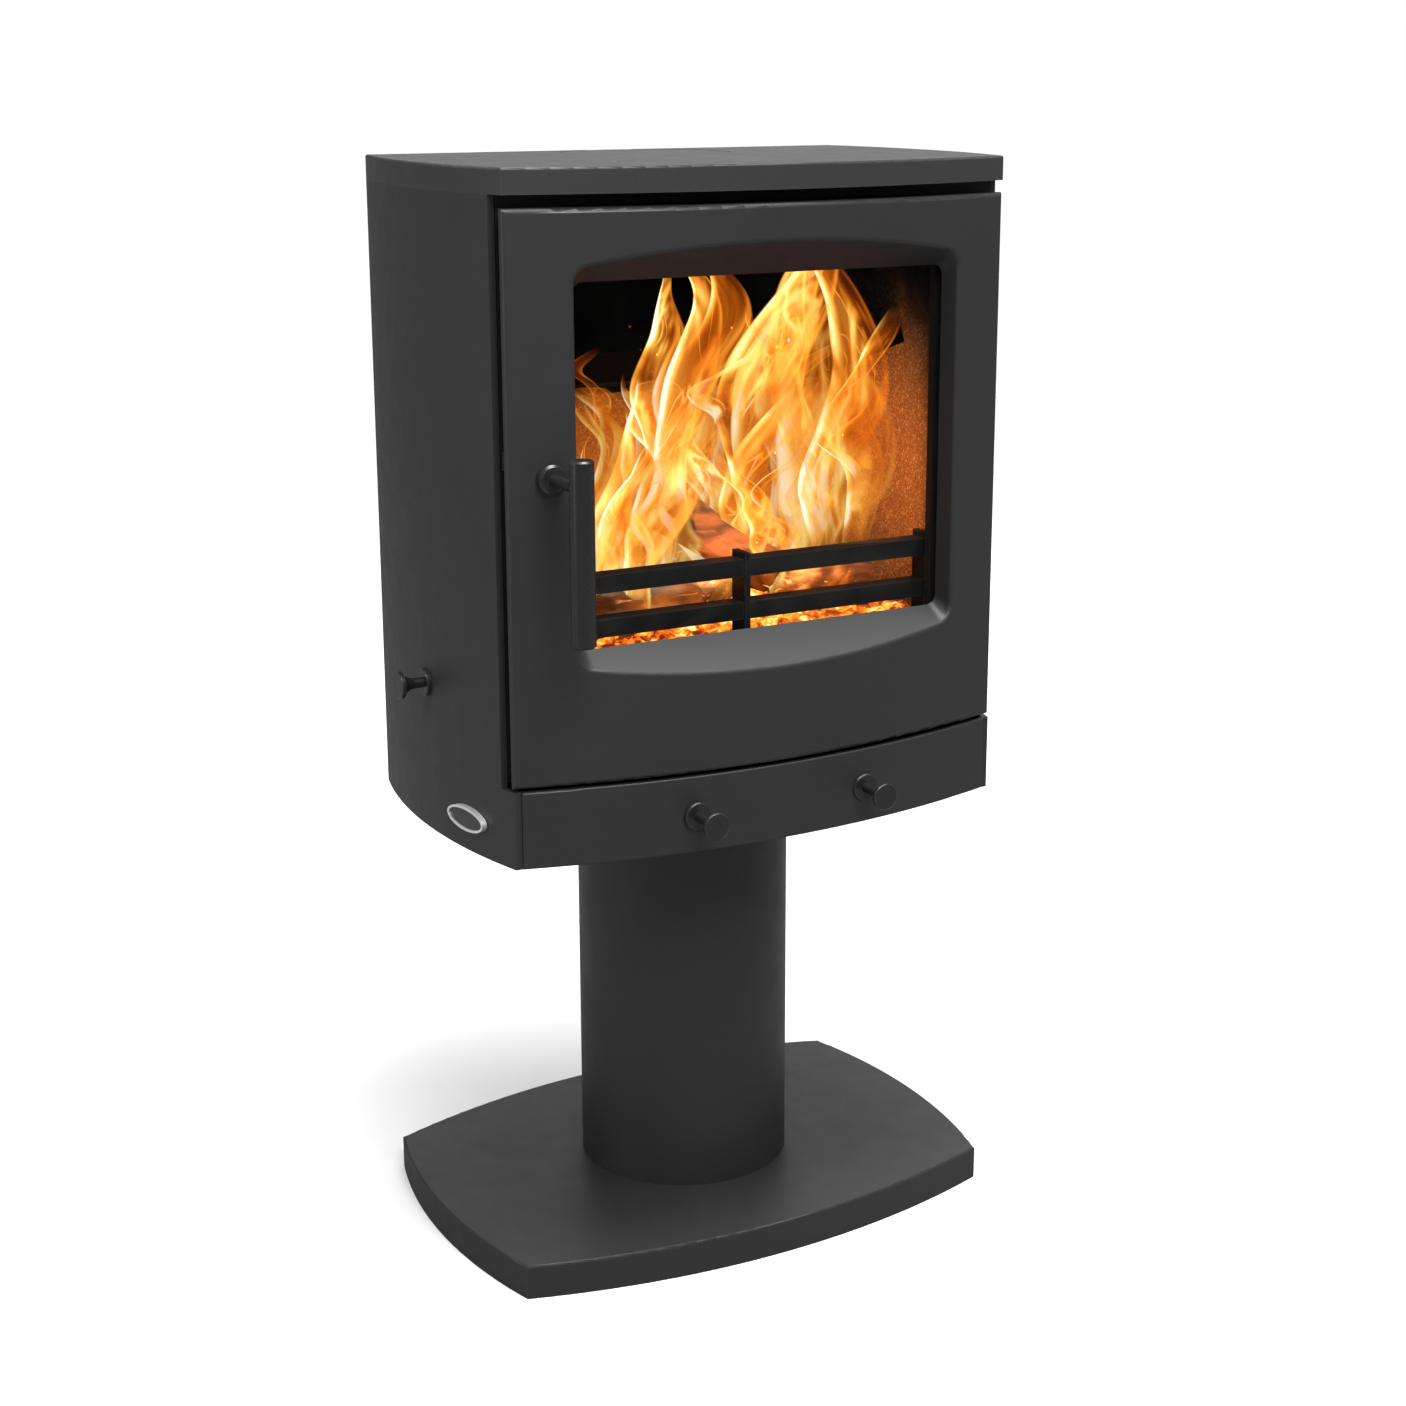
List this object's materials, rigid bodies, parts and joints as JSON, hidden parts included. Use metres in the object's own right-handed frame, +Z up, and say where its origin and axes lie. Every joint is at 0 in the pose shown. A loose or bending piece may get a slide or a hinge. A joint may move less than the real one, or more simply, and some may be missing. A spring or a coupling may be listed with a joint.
{
  "type": "wood burning stove",
  "caption": "Free-standing wood burning stove: bow-fronted firebox with a glazed hinged door, on a round column and a bowed plinth.",
  "frame": {"origin": "on the floor under the middle of the plan, on the underside of the plinth cover", "axes": "+Z up, -Y towards someone facing the door, +X to that person's right"},
  "size_m": [0.567, 0.4385, 1.0185],
  "materials": {
    "stove_paint": "matt heat-resisting paint",
    "cast_iron": "sooty casting",
    "vermiculite": "rough board",
    "stove_glass": "clear",
    "rope": "woven rope",
    "steel": "dull",
    "bright_metal": "polished",
    "blank_enamel": "gloss"
  },
  "bodies": {
    "stove_body": {"air_box_plate": "stove_paint", "airwash_rose": "stove_paint", "ash_pan": "steel", "ash_pan_handle": "steel", "ash_pan_runners": "steel", "back_brick": "vermiculite", "back_firebox_wall": "steel", "back_panel": "stove_paint", "badge_field": "blank_enamel", "badge_rim": "bright_metal", "baffle_plate": "vermiculite", "baffle_rails": "steel", "body_bottom_plate": "stove_paint", "column_foot_flange": "steel", "column_head_flange": "steel", "column_tube": "stove_paint", "firebox_floor": "steel", "flue_bolts": "steel", "flue_collar": "stove_paint", "flue_seal": "rope", "foot_bolts": "steel", "frame_hinge_leaves": "steel", "front_brick": "vermiculite", "front_frame": "stove_paint", "grate": "cast_iron", "head_bolts": "steel", "hinge_pins": "steel", "latch_keeper": "steel", "left_brick": "vermiculite", "left_firebox_wall": "steel", "left_side_panel": "stove_paint", "log_guard": "cast_iron", "lower_front_panel": "stove_paint", "outlet_blanking_plate": "stove_paint", "outlet_clamp": "steel", "plinth": "stove_paint", "plinth_cover": "stove_paint", "primary_air_rose": "stove_paint", "riddling_rose": "stove_paint", "right_brick": "vermiculite", "right_firebox_wall": "steel", "right_side_panel": "stove_paint", "top_plate": "stove_paint"},
    "door": {"door_casting": "stove_paint", "door_glass": "stove_glass", "glass_gasket": "rope", "glass_clips": "steel", "clip_screws": "steel", "door_rope_seal": "rope", "door_hinge_leaves": "steel", "handle_rose": "stove_paint"},
    "door_handle": {"handle_bar": "stove_paint", "handle_spindle": "steel", "latch_cam": "steel"},
    "primary_air_control": {"primary_air_knob": "stove_paint", "primary_air_slide": "steel"},
    "airwash_control": {"airwash_knob": "stove_paint", "airwash_slide": "steel"},
    "riddling_control": {"riddling_knob": "stove_paint", "riddling_plate": "cast_iron"}
  },
  "joints": [
    {"name": "door_hinge", "type": "hinge", "parent": "stove_body", "child": "door", "pos_m": [0.247, -0.142, 0.7375], "axis": [0, 0, 1], "range_deg": [0, 105]},
    {"name": "handle_turn", "type": "hinge", "parent": "door", "child": "door_handle", "pos_m": [-0.2145, -0.19, 0.761], "axis": [0, 1, 0], "range_deg": [0, 90]},
    {"name": "primary_air_pull", "type": "slide", "parent": "stove_body", "child": "primary_air_control", "axis": [0, -1, 0], "range_m": [-0.012, 0.025]},
    {"name": "airwash_pull", "type": "slide", "parent": "stove_body", "child": "airwash_control", "axis": [0, -1, 0], "range_m": [-0.012, 0.025]},
    {"name": "riddling_pull", "type": "slide", "parent": "stove_body", "child": "riddling_control", "axis": [-1, 0, 0], "range_m": [0, 0.03]}
  ]
}
